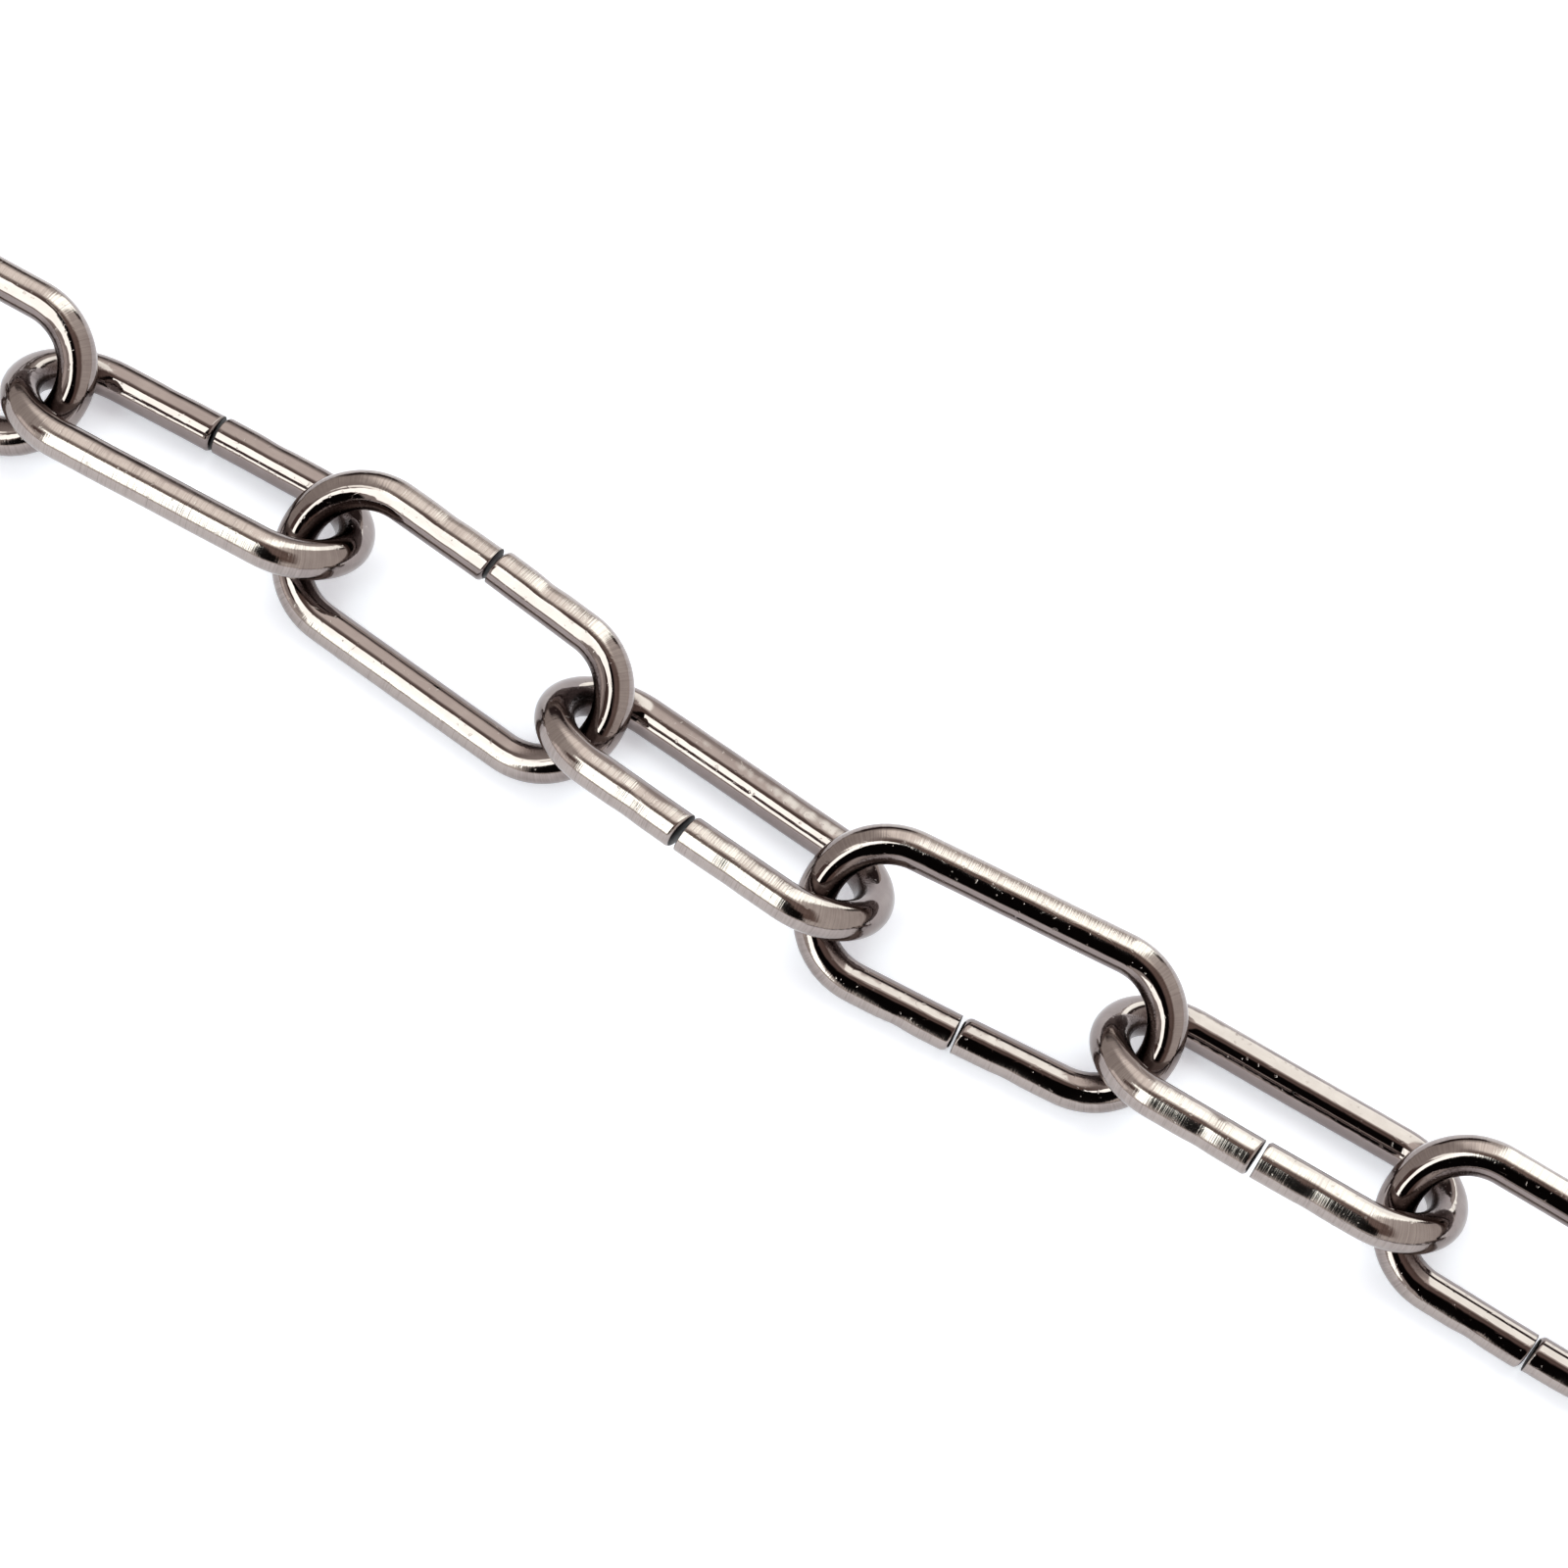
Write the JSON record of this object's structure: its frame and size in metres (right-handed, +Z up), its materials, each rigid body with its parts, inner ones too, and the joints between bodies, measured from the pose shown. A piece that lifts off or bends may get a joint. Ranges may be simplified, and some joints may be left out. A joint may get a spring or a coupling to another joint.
{
  "type": "open-joint long-link chain",
  "caption": "Length of long-link chain: oval links bent from round wire, each closed by an unwelded butt joint, hooked through one another and free to swing.",
  "frame": {"origin": "on the ground, in the middle of the space that the laid chain covers", "axes": "+Z up from the ground the chain lies on, +X along the straight middle of the chain, from link 1's side to link 21's"},
  "size_m": [0.3446, 0.2652, 0.0126],
  "materials": {
    "plated_wire": "brushed gunmetal plating, satin to bright"
  },
  "bodies": {
    "link_01": {"link_01": "plated_wire"},
    "link_02": {"link_02": "plated_wire"},
    "link_03": {"link_03": "plated_wire"},
    "link_04": {"link_04": "plated_wire"},
    "link_05": {"link_05": "plated_wire"},
    "link_06": {"link_06": "plated_wire"},
    "link_07": {"link_07": "plated_wire"},
    "link_08": {"link_08": "plated_wire"},
    "link_09": {"link_09": "plated_wire"},
    "link_10": {"link_10": "plated_wire"},
    "link_11": {"link_11": "plated_wire"},
    "link_12": {"link_12": "plated_wire"},
    "link_13": {"link_13": "plated_wire"},
    "link_14": {"link_14": "plated_wire"},
    "link_15": {"link_15": "plated_wire"},
    "link_16": {"link_16": "plated_wire"},
    "link_17": {"link_17": "plated_wire"},
    "link_18": {"link_18": "plated_wire"},
    "link_19": {"link_19": "plated_wire"},
    "link_20": {"link_20": "plated_wire"},
    "link_21": {"link_21": "plated_wire"}
  },
  "joints": [
    {"name": "swing_01", "type": "hinge", "parent": "link_02", "child": "link_01", "pos_m": [-0.10346, 0.12092, 0.00589], "axis": [0.3142, -0.7776, 0.5446], "range_deg": [-40, 40]},
    {"name": "swing_02", "type": "hinge", "parent": "link_03", "child": "link_02", "pos_m": [-0.13208, 0.11066, 0.00568], "axis": [0.5954, -0.6166, -0.515], "range_deg": [-40, 40]},
    {"name": "swing_03", "type": "hinge", "parent": "link_04", "child": "link_03", "pos_m": [-0.15482, 0.09097, 0.00595], "axis": [0.8065, -0.2621, 0.5299], "range_deg": [-40, 40]},
    {"name": "swing_04", "type": "hinge", "parent": "link_05", "child": "link_04", "pos_m": [-0.16577, 0.06305, 0.00606], "axis": [0.8203, 0.1744, -0.5446], "range_deg": [-40, 40]},
    {"name": "swing_05", "type": "hinge", "parent": "link_06", "child": "link_05", "pos_m": [-0.1613, 0.0334, 0.00579], "axis": [0.6302, 0.5675, 0.5299], "range_deg": [-40, 40]},
    {"name": "swing_06", "type": "hinge", "parent": "link_07", "child": "link_06", "pos_m": [-0.14241, 0.00998, 0.00589], "axis": [0.2868, 0.7881, -0.5446], "range_deg": [-40, 40]},
    {"name": "swing_07", "type": "hinge", "parent": "link_08", "child": "link_07", "pos_m": [-0.11428, -0.00154, 0.00638], "axis": [-0.0282, 0.8085, 0.5878], "range_deg": [-40, 40]},
    {"name": "swing_08", "type": "hinge", "parent": "link_09", "child": "link_08", "pos_m": [-0.08257, -0.00048, 0.00584], "axis": [-0.0449, 0.856, -0.515], "range_deg": [-40, 40]},
    {"name": "swing_09", "type": "hinge", "parent": "link_10", "child": "link_09", "pos_m": [-0.05138, 0.00153, 0.00568], "axis": [0.0747, 0.8539, 0.515], "range_deg": [-40, 40]},
    {"name": "swing_10", "type": "hinge", "parent": "link_11", "child": "link_10", "pos_m": [-0.01977, -0.00128, 0.0061], "axis": [0.0571, 0.8172, -0.5736], "range_deg": [-40, 40]},
    {"name": "swing_12", "type": "hinge", "parent": "link_11", "child": "link_12", "pos_m": [0.01674, -0.00383, 0.0061], "axis": [0.0571, 0.8172, -0.5736], "range_deg": [-40, 40]},
    {"name": "swing_13", "type": "hinge", "parent": "link_12", "child": "link_13", "pos_m": [0.04777, -0.00069, 0.00606], "axis": [-0.0731, 0.8355, 0.5446], "range_deg": [-40, 40]},
    {"name": "swing_14", "type": "hinge", "parent": "link_13", "child": "link_14", "pos_m": [0.07929, -0.00032, 0.00579], "axis": [-0.0148, 0.8479, -0.5299], "range_deg": [-40, 40]},
    {"name": "swing_15", "type": "hinge", "parent": "link_14", "child": "link_15", "pos_m": [0.11102, -0.00036, 0.00638], "axis": [0, 0.809, 0.5878], "range_deg": [-40, 40]},
    {"name": "swing_16", "type": "hinge", "parent": "link_15", "child": "link_16", "pos_m": [0.13985, -0.01072, 0.00579], "axis": [0.2621, 0.8065, -0.5299], "range_deg": [-40, 40]},
    {"name": "swing_17", "type": "hinge", "parent": "link_16", "child": "link_17", "pos_m": [0.16002, -0.0331, 0.00589], "axis": [0.593, 0.593, 0.5446], "range_deg": [-40, 40]},
    {"name": "swing_18", "type": "hinge", "parent": "link_17", "child": "link_18", "pos_m": [0.16605, -0.06248, 0.00589], "axis": [0.8101, 0.2171, -0.5446], "range_deg": [-40, 40]},
    {"name": "swing_19", "type": "hinge", "parent": "link_18", "child": "link_19", "pos_m": [0.15657, -0.09094, 0.00595], "axis": [0.8192, -0.2195, 0.5299], "range_deg": [-40, 40]},
    {"name": "swing_20", "type": "hinge", "parent": "link_19", "child": "link_20", "pos_m": [0.13451, -0.11132, 0.00595], "axis": [0.61, -0.5891, -0.5299], "range_deg": [-40, 40]},
    {"name": "swing_21", "type": "hinge", "parent": "link_20", "child": "link_21", "pos_m": [0.10595, -0.12141, 0.00589], "axis": [0.3142, -0.7776, 0.5446], "range_deg": [-40, 40]}
  ]
}
